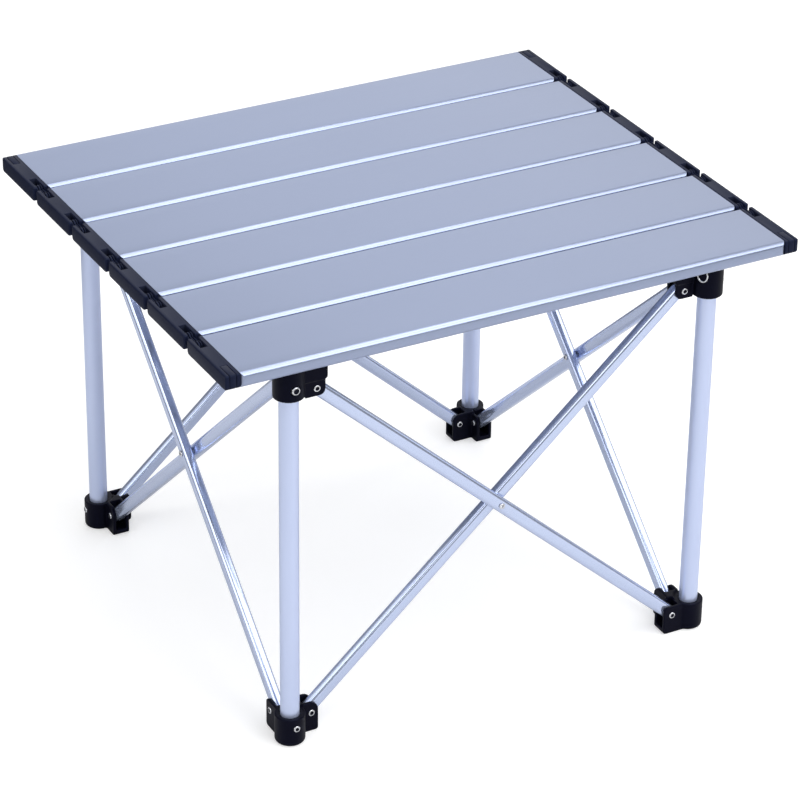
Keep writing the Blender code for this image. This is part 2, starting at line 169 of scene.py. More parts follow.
def moulded(piece, voxel, passes, keep):
    # one skin with soft edges, as moulded plastic has
    applyModifier(piece, "REMESH", mode="VOXEL", voxel_size=voxel, adaptivity=0.0)
    applyModifier(piece, "SMOOTH", factor=0.5, iterations=passes)
    applyModifier(piece, "DECIMATE", decimate_type="COLLAPSE", ratio=keep)
    useOnly(piece)
    bpy.ops.object.shade_smooth()


def copyOf(piece, name, matrix):
    # a copy with its own mesh, placed in its mesh
    made = piece.copy()
    made.data = piece.data.copy()
    made.name = name
    bpy.context.collection.objects.link(made)
    made.data.transform(matrix)
    if matrix.determinant() < 0:
        made.data.flip_normals()
    return made


def placePiece(piece, body, material, nodes=()):
    piece.data.materials.clear()
    piece.data.materials.append(material)
    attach(piece, body)
    for node in nodes:
        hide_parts(node)


def turned(number):
    # from the front side, or the front left corner, to another one
    centre = Vector((0, table["setback"], 0))
    turn = Matrix.Rotation(number * quarter, 4, "Z")
    return Matrix.Translation(centre) @ turn @ Matrix.Translation(-centre)


def drop(piece):
    bpy.data.objects.remove(piece, do_unlink=True)


# camera at the photograph's place

cameraSizes = {
    "place": (-0.95861, -1.76763, 1.25459), "yaw": 0.50041, "pitch": -0.50742, "roll": 0.0140,
    "lens": 154.033, "sensor": 36.0,
}


def addCamera():
    yaw, pitch, roll = (cameraSizes[key] for key in ("yaw", "pitch", "roll"))
    level = math.cos(pitch)
    forward = Vector((math.sin(yaw) * level, math.cos(yaw) * level, math.sin(pitch)))
    right = Vector((math.cos(yaw), -math.sin(yaw), 0))
    up = right.cross(forward)
    across = math.cos(roll) * right + math.sin(roll) * up
    upward = math.cos(roll) * up - math.sin(roll) * right
    bpy.ops.object.camera_add(location=cameraSizes["place"])
    camera = bpy.context.object
    camera.rotation_euler = Matrix((across, upward, -forward)).transposed().to_euler()
    camera.data.lens = cameraSizes["lens"]
    camera.data.sensor_width = cameraSizes["sensor"]
    camera.data.clip_start = 0.05
    bpy.context.scene.camera = camera


clearSelection()
addCamera()


# shader groups that the materials share, and the materials

def newGroup(name, inputs, outputs):
    group = bpy.data.node_groups.new(name, "ShaderNodeTree")
    for label, kind, value in inputs:
        socket = group.interface.new_socket(name=label, in_out="INPUT", socket_type=kind)
        socket.default_value = value
    for label, kind in outputs:
        group.interface.new_socket(name=label, in_out="OUTPUT", socket_type=kind)
    return group, group.nodes.new("NodeGroupInput"), group.nodes.new("NodeGroupOutput")


def wire(tree, source, target):
    tree.links.new(source, target)


def node(tree, kind, **settings):
    # a setting that isn't a socket is a property of the node
    made = tree.nodes.new(kind)
    for key, value in settings.items():
        if key in made.inputs:
            made.inputs[key].default_value = value
        else:
            setattr(made, key, value)
    return made


def ofKind(sockets, kind):
    return [socket for socket in sockets if socket.type == kind]


def mixColours(tree, factor, second):
    # gives the socket of the first colour and the mixed colour
    mix = node(tree, "ShaderNodeMix", data_type="RGBA")
    colours = ofKind(mix.inputs, "RGBA")
    colours[1].default_value = (*second, 1)
    wire(tree, factor, ofKind(mix.inputs, "VALUE")[0])
    return colours[0], ofKind(mix.outputs, "RGBA")[0]


def makeGrain():
    # fine lines or grains over the object's own place, and slow blotches
    group, start, end = newGroup(
        "surfaceGrain",
        [("Stretch", "NodeSocketVector", (1.0, 1.0, 1.0)), ("Fine Scale", "NodeSocketFloat", 900.0),
         ("Slow Scale", "NodeSocketFloat", 18.0)],
        [("Fine", "NodeSocketFloat"), ("Slow", "NodeSocketFloat")])
    place = node(group, "ShaderNodeTexCoord")
    stretch = node(group, "ShaderNodeMapping")
    fine = node(group, "ShaderNodeTexNoise", Detail=3.0, Roughness=0.6)
    slow = node(group, "ShaderNodeTexNoise", Detail=2.0, Roughness=0.5)
    wire(group, place.outputs["Object"], stretch.inputs["Vector"])
    wire(group, start.outputs["Stretch"], stretch.inputs["Scale"])
    wire(group, stretch.outputs["Vector"], fine.inputs["Vector"])
    wire(group, start.outputs["Fine Scale"], fine.inputs["Scale"])
    wire(group, place.outputs["Object"], slow.inputs["Vector"])
    wire(group, start.outputs["Slow Scale"], slow.inputs["Scale"])
    wire(group, fine.outputs["Fac"], end.inputs["Fine"])
    wire(group, slow.outputs["Fac"], end.inputs["Slow"])
    return group


# the pointiness between which the lighter edge line, part wear and part painted highlight, starts and is
# full
wearAndSheenEdge = (0.52, 0.62)


def makeEdgeWearAndSheen():
    # a thin lighter line where an edge turns, partly edge wear and partly a painted highlight on the rims
    group, start, end = newGroup(
        "edgeWearAndSheen",
        [("Amount", "NodeSocketFloat", 0.5), ("Fine", "NodeSocketFloat", 0.5)],
        [("Mask", "NodeSocketFloat")])
    shape = node(group, "ShaderNodeNewGeometry")
    edge = node(group, "ShaderNodeMapRange")
    edge.inputs["From Min"].default_value, edge.inputs["From Max"].default_value = wearAndSheenEdge
    broken = node(group, "ShaderNodeMath", operation="MULTIPLY")
    scaled = node(group, "ShaderNodeMath", operation="MULTIPLY")
    wire(group, shape.outputs["Pointiness"], edge.inputs["Value"])
    wire(group, edge.outputs["Result"], broken.inputs[0])
    wire(group, start.outputs["Fine"], broken.inputs[1])
    wire(group, broken.outputs[0], scaled.inputs[0])
    wire(group, start.outputs["Amount"], scaled.inputs[1])
    wire(group, scaled.outputs[0], end.inputs["Mask"])
    return group


surfaceGrain = makeGrain()
edgeWearAndSheen = makeEdgeWearAndSheen()


def makeFinish(look):
    # one material: two close colours over slow blotches, grain in roughness and bump
    material = bpy.data.materials.new(look["name"])
    material.use_nodes = True
    tree = material.node_tree
    shader = tree.nodes["Principled BSDF"]
    shader.inputs["Metallic"].default_value = look["metallic"]
    shader.inputs["Specular IOR Level"].default_value = look.get("specular", 0.5)
    shader.inputs["Specular Tint"].default_value = (*look.get("shine", (1, 1, 1)), 1)
    shader.inputs["IOR"].default_value = look.get("ior", 1.5)
    grain = node(tree, "ShaderNodeGroup", node_tree=surfaceGrain)
    grain.inputs["Stretch"].default_value = look["stretch"]
    grain.inputs["Fine Scale"].default_value = look["fineScale"]
    grain.inputs["Slow Scale"].default_value = look["slowScale"]
    base, blotched = mixColours(tree, grain.outputs["Slow"], look["colours"][1])
    base.default_value = (*look["colours"][0], 1)
    # the lighter edge line: part wear, part painted highlight
    wearAndSheen = node(tree, "ShaderNodeGroup", node_tree=edgeWearAndSheen)
    wearAndSheen.inputs["Amount"].default_value = look["wearAndSheen"]
    wire(tree, grain.outputs["Fine"], wearAndSheen.inputs["Fine"])
    unmarked, wornAndSheened = mixColours(tree, wearAndSheen.outputs["Mask"], look["wearAndSheenColour"])
    wire(tree, blotched, unmarked)
    wire(tree, wornAndSheened, shader.inputs["Base Color"])
    rough = node(tree, "ShaderNodeMapRange")
    rough.inputs["To Min"].default_value = look["roughness"][0]
    rough.inputs["To Max"].default_value = look["roughness"][1]
    wire(tree, grain.outputs["Fine"], rough.inputs["Value"])
    wire(tree, rough.outputs["Result"], shader.inputs["Roughness"])
    bump = node(tree, "ShaderNodeBump", Strength=look["bump"], Distance=look["bumpDepth"])
    wire(tree, grain.outputs["Fine"], bump.inputs["Height"])
    wire(tree, bump.outputs["Normal"], shader.inputs["Normal"])
    return material


slatFinish = makeFinish({
    "name": "satin anodised slat", "metallic": 0.95,
    "colours": [(0.350, 0.405, 0.565), (0.380, 0.435, 0.60)],
    "stretch": (0.02, 1.0, 1.0), "fineScale": 2600.0, "slowScale": 6.0, "roughness": (0.30, 0.40),
    "bump": 0.05, "bumpDepth": 0.0002, "wearAndSheen": 0.0, "wearAndSheenColour": (0.7, 0.72, 0.78)})
legFinish = makeFinish({
    "name": "satin anodised leg", "metallic": 0.6,
    "colours": [(0.595, 0.675, 0.92), (0.635, 0.715, 0.96)],
    "stretch": (1.0, 1.0, 0.03), "fineScale": 2600.0, "slowScale": 14.0, "roughness": (0.26, 0.34),
    "bump": 0.02, "bumpDepth": 0.0002, "wearAndSheen": 0.0, "wearAndSheenColour": (0.8, 0.8, 0.85)})
braceFinish = makeFinish({
    "name": "satin anodised brace", "metallic": 0.8,
    "colours": [(0.60, 0.68, 0.91), (0.63, 0.71, 0.94)],
    "stretch": (1.0, 1.0, 1.0), "fineScale": 350.0, "slowScale": 16.0, "roughness": (0.13, 0.15),
    "bump": 0.004, "bumpDepth": 0.0001, "wearAndSheen": 0.0, "wearAndSheenColour": (0.8, 0.8, 0.85)})
# the hub's lighter edge line is partly wear and partly a painted highlight
hubFinish = makeFinish({
    "name": "black moulded hub plastic", "metallic": 0.0,
    "specular": 0.2, "shine": (0.5, 0.52, 1.0), "ior": 1.36,
    "colours": [(0.0014, 0.0015, 0.0044), (0.0026, 0.0028, 0.0072)],
    "stretch": (1.0, 1.0, 1.0), "fineScale": 2200.0, "slowScale": 60.0, "roughness": (0.34, 0.50),
    "bump": 0.12, "bumpDepth": 0.0002, "wearAndSheen": 0.2, "wearAndSheenColour": (0.05, 0.052, 0.07)})
# the cap's lighter edge line is partly wear and partly a painted highlight
capFinish = makeFinish({
    "name": "black moulded cap plastic", "metallic": 0.0,
    "specular": 0.2, "shine": (0.55, 0.66, 1.0), "ior": 1.36,
    "colours": [(0.0056, 0.0084, 0.0260), (0.0078, 0.0112, 0.0320)],
    "stretch": (1.0, 1.0, 1.0), "fineScale": 2200.0, "slowScale": 60.0, "roughness": (0.36, 0.52),
    "bump": 0.12, "bumpDepth": 0.0002, "wearAndSheen": 0.3, "wearAndSheenColour": (0.06, 0.066, 0.09)})
steelFinish = makeFinish({
    "name": "bright rivet steel", "metallic": 1.0,
    "colours": [(0.66, 0.67, 0.70), (0.74, 0.75, 0.78)],
    "stretch": (1.0, 1.0, 1.0), "fineScale": 1800.0, "slowScale": 200.0, "roughness": (0.16, 0.30),
    "bump": 0.05, "bumpDepth": 0.0001, "wearAndSheen": 0.0, "wearAndSheenColour": (0.8, 0.8, 0.82)})
print("materials made")


# slats: a folded channel with round edges, open below between two lips

slatSizes = {
    "halfLength": 0.1925, "halfWidth": 0.0273, "wall": 0.0012, "lip": 0.011,
    "corner": 0.003, "backCorner": 0.0017, "cornerSteps": 7, "edge": 0.00013,
}


def makeSlat():
    size = slatSizes
    half, wide = size["halfLength"], size["halfWidth"]
    slat = addBlock("slatShell", (-half, -wide, table["under"]), (half, wide, table["top"]))
    for end, radius in ((-1, size["corner"]), (1, size["backCorner"])):
        roundEdges(slat, lambda middle, along: abs(along.x) > aligned and middle.y * end > 0,
                   radius, size["cornerSteps"])
    pickFaces(slat, lambda middle, normal: abs(normal.x) > aligned)
    bpy.ops.mesh.delete(type="ONLY_FACE")
    mouth = wide - size["lip"]
    for y in (-mouth, mouth):
        bpy.ops.mesh.select_all(action="SELECT")
        bpy.ops.mesh.bisect(plane_co=(0, y, 0), plane_no=(0, 1, 0), use_fill=False)
    backToObject()
    pickFaces(slat, lambda middle, normal: abs(middle.y) < mouth and normal.z < -aligned)
    bpy.ops.mesh.delete(type="FACE")
    backToObject()
    applyModifier(slat, "SOLIDIFY", thickness=size["wall"], offset=-1.0, use_even_offset=True)
    softenEdges(slat, size["edge"], angle=60)
    smoothShade(slat, angle=25)
    return slat


# end caps: a block with round corners, a tongue and a pocket at each end

capSizes = {
    "inner": 0.1926, "halfWidth": 0.0268, "bottomCorner": 0.0025, "topCorner": 0.001, "edge": 0.0003,
    "pocket": (0.1951, 0.1998), "pocketLength": 0.0138, "play": 0.0003, "over": 0.003,
    "tongueStart": 0.1805, "tongueCorner": 0.002, "tongueOverlap": 0.001,
    "pinOffset": 0.0224, "pinRadius": 0.0014, "pinEnds": (0.1939, 0.2010), "plugEdge": 0.0002,
}


def makeCap():
    size = capSizes
    wide, outer = size["halfWidth"], table["halfLength"]
    under, top = table["under"], table["top"]
    cap = addBlock("capShell", (size["inner"], -wide, under), (outer, wide, top))
    roundEdges(cap, lambda middle, along: abs(along.x) > aligned and middle.z < under + near,
               size["bottomCorner"], steps=6)
    roundEdges(cap, lambda middle, along: middle.x > outer - near or (
        abs(along.x) > aligned and middle.z > top - near), size["topCorner"])
    play = slatSizes["wall"] + size["play"]
    side = slatSizes["halfWidth"] - play
    tongue = addBlock("tongue", (size["tongueStart"], -side, under + play),
                      (size["inner"] + size["tongueOverlap"], side, top - play))
    roundEdges(tongue, lambda middle, along: abs(along.x) > aligned, size["tongueCorner"])
    join(cap, tongue)
    low, high = size["pocket"]
    over = size["over"]
    for end in (-1, 1):
        ys = sorted((end * (wide + over), end * (wide - size["pocketLength"])))
        pocket = addBlock("pocket", (low, ys[0], under - over), (high, ys[1], top + over))
        y, z = end * size["pinOffset"], table["pinHeight"]
        pin = addRod("pinHole", (size["pinEnds"][0] - size["play"], y, z),
                     (size["pinEnds"][1] + size["play"], y, z),
                     size["pinRadius"] + size["play"], facets["pin"])
        carve(cap, pocket, pin)
    softenEdges(cap, size["edge"], angle=40, steps=3)
    smoothShade(cap, angle=35)
    return cap


def makePlug():
    size = capSizes
    low, high = size["pocket"][0] + size["play"], size["pocket"][1] - size["play"]
    start = size["halfWidth"] - size["pocketLength"] + size["play"]
    plug = addBlock("plugShell", (low, start, table["under"]), (high, size["halfWidth"], table["top"]))
    outer = size["halfWidth"] - near
    roundEdges(plug, lambda middle, along: middle.y > outer and middle.z < table["under"] + near
               and abs(along.x) > aligned, size["bottomCorner"], steps=6)
    roundEdges(plug, lambda middle, along: middle.y > outer and middle.z > table["top"] - near
               and abs(along.x) > aligned, size["topCorner"])
    pin = addRod("pin", (size["pinEnds"][0], size["pinOffset"], table["pinHeight"]),
                 (size["pinEnds"][1], size["pinOffset"], table["pinHeight"]),
                 size["pinRadius"], facets["pin"])
    join(plug, pin)
    softenEdges(plug, size["plugEdge"], angle=40)
    smoothShade(plug, angle=35)
    return plug


# links: two barrels on a ribbed web, drawn about the middle of a gap

linkSizes = {
    "half": 0.0064, "barrel": 0.0041, "web": 0.0026, "play": 0.0002, "edge": 0.0002,
    "rib": 0.0007, "ribInset": 0.0009, "groove": 0.0012, "over": 0.001,
}


def makeLink():
    size = linkSizes
    low, high = capSizes["pocket"][0] + size["play"], capSizes["pocket"][1] - size["play"]
    pinHeight = table["pinHeight"]
    link = addBlock("linkWeb", (low, -size["half"], pinHeight - size["web"]),
                    (high, size["half"], pinHeight + size["web"]))
    for y in (-size["half"], size["half"]):
        barrel = addRod("barrel", (low, y, pinHeight), (high, y, pinHeight),
                        size["barrel"], facets["barrel"])
        pin = addRod("pin", (capSizes["pinEnds"][0], y, pinHeight), (capSizes["pinEnds"][1], y, pinHeight),
                     capSizes["pinRadius"], facets["hole"])
        join(link, barrel, pin)
    reach = size["half"] + size["barrel"] + size["over"]
    for x in (low + size["ribInset"], high - size["ribInset"] - size["rib"]):
        for side in (-1, 1):
            start = pinHeight + side * (size["web"] - size["groove"])
            end = pinHeight + side * (size["barrel"] + size["over"])
            carve(link, addBlock("groove", (x, -reach, min(start, end)),
                                 (x + size["rib"], reach, max(start, end))))
    softenEdges(link, size["edge"], angle=40)
    smoothShade(link, angle=35)
    return link


slatShell, capShell, plugShell, linkShell = makeSlat(), makeCap(), makePlug(), makeLink()
halfTurn = Matrix.Rotation(math.pi, 4, "Z")
mirrorX = Matrix.Diagonal((-1, 1, 1, 1))
for number in range(1, table["slats"] + 1):
    y = table["firstSlat"] + table["pitch"] * (number - 1)
    shift = Matrix.Translation((0, y, 0))
    placePiece(copyOf(slatShell, f"slatChannel_{number}", shift), f"slat_{number}",
               slatFinish, [f"slat_{number}"])
    placePiece(copyOf(capShell, f"capRight_{number}", shift), f"slat_{number}",
               capFinish, [f"end_cap_{number}_right"])
    placePiece(copyOf(capShell, f"capLeft_{number}", shift @ halfTurn), f"slat_{number}",
               capFinish, [f"end_cap_{number}_left"])
    if number < table["slats"]:
        shift = Matrix.Translation((0, y + table["pitch"] / 2, 0))
        placePiece(copyOf(linkShell, f"linkRight_{number}", shift), f"links_{number}",
                   capFinish, [f"link_{number}_right"])
        placePiece(copyOf(linkShell, f"linkLeft_{number}", shift @ halfTurn), f"links_{number}",
                   capFinish, [f"link_{number}_left"])
back = Matrix.Translation((0, -table["firstSlat"], 0))
front = Matrix.Translation((0, table["firstSlat"], 0))
for name, matrix, body in (
        ("back_right", back, "slat_6"), ("back_left", back @ mirrorX, "slat_6"),
        ("front_left", front @ halfTurn, "slat_1"), ("front_right", front @ halfTurn @ mirrorX, "slat_1")):
    placePiece(copyOf(plugShell, "plug_" + name, matrix), body, capFinish,
               ["cap_plug_" + name])
for piece in (slatShell, capShell, plugShell, linkShell):
    drop(piece)
print("tabletop made")


# legs: round tube with its two cross holes

legSizes = {
    "radius": 0.00625, "wall": 0.001, "bottom": 0.0033, "top": 0.2697, "drill": 0.012,
    "rivetHeight": 0.0136, "rivetHole": 0.0019, "buttonHeight": 0.259, "buttonHole": 0.0031,
}
legPlace = Vector((-table["legOffset"], -table["legOffset"] + table["setback"], 0))


def makeLeg():
    size = legSizes
    leg = addRod("legTube", legPlace + Vector((0, 0, size["bottom"])),
                 legPlace + Vector((0, 0, size["top"])), size["radius"], facets["leg"])
    pickFaces(leg, lambda middle, normal: abs(normal.z) > aligned)
    bpy.ops.mesh.delete(type="ONLY_FACE")
    backToObject()
    applyModifier(leg, "SOLIDIFY", thickness=size["wall"], offset=-1.0, use_even_offset=True)
    across = Vector((0, size["drill"], 0))
    low = legPlace + Vector((0, 0, size["rivetHeight"]))
    high = legPlace + Vector((0, 0, size["buttonHeight"]))
    carve(leg, addRod("rivetHole", low - across, low + across, size["rivetHole"], facets["drill"]),
          addRod("buttonHole", high - across, high, size["buttonHole"], facets["seat"]))
    smoothShade(leg, angle=35)
    return leg


# braces: a flat tube with round ends and three rivet holes

braceSizes = {
    "halfWidth": 0.00475, "halfDepth": 0.0036, "wall": 0.001, "corner": 0.0030, "end": 0.0046,
    "hole": 0.0019, "over": 0.002,
}
halfSpan = table["legOffset"] - table["pivotReach"]
rise = table["topPivot"] - table["footPivot"]
braceLength = math.hypot(2 * halfSpan, rise)
braceAngle = math.atan2(rise, 2 * halfSpan)


def makeBrace():
    # drawn along X from its lower pivot
    size = braceSizes
    tall, deep = size["halfWidth"], size["halfDepth"]
    brace = addBlock("braceTube", (-tall, -deep, -tall), (braceLength + tall, deep, tall))
    roundEdges(brace, lambda middle, along: abs(along.x) > aligned, size["corner"], steps=8)
    pickFaces(brace, lambda middle, normal: abs(normal.x) > aligned)
    bpy.ops.mesh.delete(type="ONLY_FACE")
    backToObject()
    applyModifier(brace, "SOLIDIFY", thickness=size["wall"], offset=-1.0, use_even_offset=True)
    over = deep + size["over"]
    trim = addBlock("trim", (-tall, -over, -tall), (braceLength + tall, over, tall))
    roundEdges(trim, lambda middle, along: abs(along.y) > aligned, size["end"], steps=12)
    applyModifier(brace, "BOOLEAN", operation="INTERSECT", object=trim, solver="EXACT")
    drop(trim)
    for x in (0, braceLength / 2, braceLength):
        carve(brace, addRod("hole", (x, -over, 0), (x, over, 0), size["hole"], facets["hole"]))
    smoothShade(brace, angle=30)
    return brace


legTube, braceTube = makeLeg(), makeBrace()
innerTurn = Matrix.Rotation(-braceAngle, 4, "Y")
outerTurn = Matrix.Rotation(braceAngle - math.pi, 4, "Y")
plane = -table["legOffset"] + table["setback"]
for number, side in enumerate(sideNames):
    placePiece(copyOf(legTube, "legTube_" + cornerNames[number], turned(number)), legBody[number],
               legFinish, ["leg_" + cornerNames[number]])
    outerPlace = Matrix.Translation((halfSpan, plane, table["footPivot"])) @ outerTurn
    innerPlace = Matrix.Translation(
        (-halfSpan, plane + table["braceStep"], table["footPivot"])) @ innerTurn
    placePiece(copyOf(braceTube, f"braceOuter_{side}", turned(number) @ outerPlace), outerBody[number],
               braceFinish, [f"brace_{side}_outer"])
    placePiece(copyOf(braceTube, f"braceInner_{side}", turned(number) @ innerPlace), innerBody[number],
               braceFinish, [f"brace_{side}_inner"])
drop(legTube)
drop(braceTube)
print("legs and braces made")


# hubs: the ear along X and the ear along Y of the front left corner, which turn to the others

hubSizes = {
    "sleeve": 0.010, "bore": 0.00655, "ear": 0.00605, "earStart": 0.002, "slot": 0.00385,
    "slotStart": 0.0107, "reach": 0.0222, "over": 0.003,
    "footTop": 0.0218, "footSleeve": 0.0203, "footReach": (0.0214, 0.0222), "footCorner": (0.0065, 0.0025),
    "footFoot": 0.002, "footRound": 0.0022, "footFloor": 0.003, "footWeb": 0.004,
    "hubTop": 0.2772, "sleeveBottom": 0.251, "earBottom": 0.2495, "slotCeiling": 0.2605, "topCorner": 0.004,
    "flange": 0.0013, "flangeCorner": 0.002, "peg": 0.008, "pegTop": 0.286, "pegOverlap": 0.002,
    "legTop": 0.270, "buttonDrill": 0.014,
    "voxel": 0.00036, "smoothing": 9, "keep": 0.35,
}


def hubPoint(along, across, height, alongY):
    point = Vector((across, along, height)) if alongY else Vector((along, across, height))
    return point + legPlace


def hubBlock(name, alongY, alongs, acrosses, heights):
    low = hubPoint(alongs[0], acrosses[0], heights[0], alongY)
    high = hubPoint(alongs[1], acrosses[1], heights[1], alongY)
    return addBlock(name, low, high)


def atEnd(middle, end, alongY):
    return middle.y > end.y - near if alongY else middle.x > end.x - near


def makeFootHub():
    size = hubSizes
    hub = addRod("footShell", legPlace, legPlace + Vector((0, 0, size["footSleeve"])),
                 size["sleeve"], facets["hub"])
    roundEdges(hub, lambda middle, along: middle.z < near, size["footRound"], steps=7)
    for alongY, middleLine in ((False, table["braceStep"]), (True, 0.0)):
        earTop = size["footSleeve"] if alongY else size["footTop"]
        reach = size["footReach"][alongY]
        ear = hubBlock("ear", alongY, (size["earStart"], reach),
                       (middleLine - size["ear"], middleLine + size["ear"]), (0, earTop))
        end = hubPoint(reach, 0, 0, alongY)
        roundEdges(ear, lambda middle, along: middle.z > earTop - near and atEnd(middle, end, alongY),
                   size["footCorner"][alongY], steps=8)
        roundEdges(ear, lambda middle, along: middle.z < near and atEnd(middle, end, alongY),
                   size["footFoot"], steps=5)
        join(hub, ear)
    over = size["footTop"] + size["over"]
    carve(hub, addRod("rim", legPlace + Vector((0, 0, size["footSleeve"])),
                      legPlace + Vector((0, 0, over)), size["sleeve"], facets["hub"]))
    for alongY, middleLine in ((False, table["braceStep"]), (True, 0.0)):
        carve(hub, hubBlock("slot", alongY, (size["slotStart"], size["reach"] + size["over"]),
                            (middleLine - size["slot"], middleLine + size["slot"]), (size["footWeb"], over)))
    carve(hub, addRod("bore", legPlace + Vector((0, 0, size["footFloor"])),
                      legPlace + Vector((0, 0, over)), size["bore"], facets["hub"]))
    moulded(hub, size["voxel"], size["smoothing"], size["keep"])
    return hub


def makeTopHub():
    size = hubSizes
    hub = addRod("topShell", legPlace + Vector((0, 0, size["sleeveBottom"])),
                 legPlace + Vector((0, 0, size["hubTop"])), size["sleeve"], facets["hub"])
    ears = ((False, 0.0), (True, table["braceStep"]))
    for alongY, middleLine in ears:
        ear = hubBlock("ear", alongY, (size["earStart"], size["reach"]),
                       (middleLine - size["ear"], middleLine + size["ear"]),
                       (size["earBottom"], size["hubTop"]))
        end = hubPoint(size["reach"], 0, 0, alongY)
        roundEdges(ear, lambda middle, along: middle.z < size["earBottom"] + near and atEnd(
            middle, end, alongY), size["topCorner"], steps=5)
        wider = size["ear"] + size["flange"] / 2
        flange = hubBlock("flange", alongY, (size["earStart"], size["reach"] + size["flange"]),
                          (middleLine - wider, middleLine + wider), (size["slotCeiling"], size["hubTop"]))
        end = hubPoint(size["reach"] + size["flange"], 0, 0, alongY)
        roundEdges(flange, lambda middle, along: middle.z < size["slotCeiling"] + near and atEnd(
            middle, end, alongY), size["flangeCorner"], steps=5)
        join(hub, ear, flange)
    under = size["earBottom"] - size["over"]
    for alongY, middleLine in ears:
        carve(hub, hubBlock("slot", alongY, (size["slotStart"], size["reach"] + size["over"]),
                            (middleLine - size["slot"], middleLine + size["slot"]),
                            (under, size["slotCeiling"])))
    peg = size["peg"]
    join(hub, addBlock("peg", legPlace + Vector((-peg, -peg, size["hubTop"] - size["pegOverlap"])),
                       legPlace + Vector((peg, peg, size["pegTop"]))))
    button = legPlace + Vector((0, 0, legSizes["buttonHeight"]))
    carve(hub,
          addRod("under", legPlace + Vector((0, 0, under)), legPlace + Vector((0, 0, size["sleeveBottom"])),
                 size["sleeve"], facets["hub"]),
          addRod("bore", legPlace + Vector((0, 0, under)), legPlace + Vector((0, 0, size["legTop"])),
                 size["bore"], facets["hub"]),
          addRod("buttonHole", button, button - Vector((0, size["buttonDrill"], 0)),
                 legSizes["buttonHole"], facets["socket"]))
    moulded(hub, size["voxel"], size["smoothing"], size["keep"])
    return hub


footShell, topShell = makeFootHub(), makeTopHub()
for number, corner in enumerate(cornerNames):
    placePiece(copyOf(footShell, "footHub_" + corner, turned(number)), legBody[number],
               hubFinish, ["foot_hub_" + corner])
    placePiece(copyOf(topShell, "topHub_" + corner, turned(number)), "top_" + corner,
               hubFinish, ["top_hub_" + corner])
drop(footShell)
drop(topShell)
print("hubs made")


# rivets: a shank with a rolled head at each end and a hollow middle, eyelets and snap buttons

rivetSizes = {
    "head": 0.0023, "shank": 0.0017, "proud": 0.0007, "roundShare": 0.8,
    "hollow": 0.0014, "deep": 0.0014, "over": 0.001,
    "sleeveHead": 0.0022, "sleeveHollow": 0.0013, "sleeveEnd": 0.002,
    "crossHead": 0.0021, "crossHollow": 0.0010, "crossGap": 0.0003,
}
eyeletSizes = {
    "azimuth": 126, "out": 0.0102, "below": 0.0098, "major": 0.0033, "minor": 0.00055, "stretch": 1.3,
}
buttonSizes = {
    "tip": 0.0108, "root": 0.0029, "radius": 0.0028, "corner": 0.0008,
    "dimple": 0.0019, "dimpleDepth": 0.0070, "over": 0.001,
    "padHalf": 0.0038, "stripHalf": 0.0024, "sheet": (0.00317, 0.00257), "stripLength": 0.016,
    "bendMiddle": 0.00187, "bend": 0.0013,
    # place and size of the black plug in the dimple, painted shade for its hollow
    "shadeCoreStart": 0.0009, "shadeCoreEnd": 0.0024, "shadeCore": 0.00188,
}


def makeRivet(name, start, end, headRadius, hollow, both=True):
    # the heads stand outside start and end
    start, end = Vector(start), Vector(end)
    along = (end - start).normalized()
    proud = rivetSizes["proud"]
    rivet = addRod(name, start - along * proud / 2, end + along * proud / 2,
                   rivetSizes["shank"], facets["shank"])
    for point, outward in ((start, -along), (end, along))[:2 if both else 1]:
        head = addRod("head", point, point + outward * proud, headRadius, facets["head"])
        tip = point + outward * proud
        roundEdges(head, lambda middle, direction: (middle - tip).dot(outward) > -near / 2,
                   proud * rivetSizes["roundShare"])
        join(rivet, head)
        carve(rivet, addRod("hollow", tip + outward * rivetSizes["over"],
                            tip - outward * rivetSizes["deep"], hollow, facets["hole"]))
    smoothShade(rivet, angle=40)
    return rivet


def forkRivet(name, height, middleLine, alongY):
    face = hubSizes["ear"]
    return makeRivet(name, hubPoint(table["pivotReach"], middleLine - face, height, alongY),
                     hubPoint(table["pivotReach"], middleLine + face, height, alongY),
                     rivetSizes["head"], rivetSizes["hollow"])


def makeEyelet():
    # the thin metal ring on the side of a top hub
    size = eyeletSizes
    azimuth = math.radians(size["azimuth"])
    outward = Vector((math.cos(azimuth), math.sin(azimuth), 0))
    centre = legPlace + outward * size["out"] + Vector((0, 0, table["under"] - size["below"]))
    turn = Vector((0, 0, 1)).rotation_difference(outward).to_euler()
    clearSelection()
    bpy.ops.mesh.primitive_torus_add(
        major_segments=facets["ring"], minor_segments=12,
        major_radius=size["major"], minor_radius=size["minor"],
        location=centre, rotation=turn)
    ring = bpy.context.object
    ring.name = "eyelet"
    bpy.ops.object.transform_apply(location=False, rotation=True, scale=True)
    ring.scale.z = size["stretch"]
    bpy.ops.object.transform_apply(location=True, rotation=True, scale=True)
    bpy.ops.object.shade_smooth()
    return ring


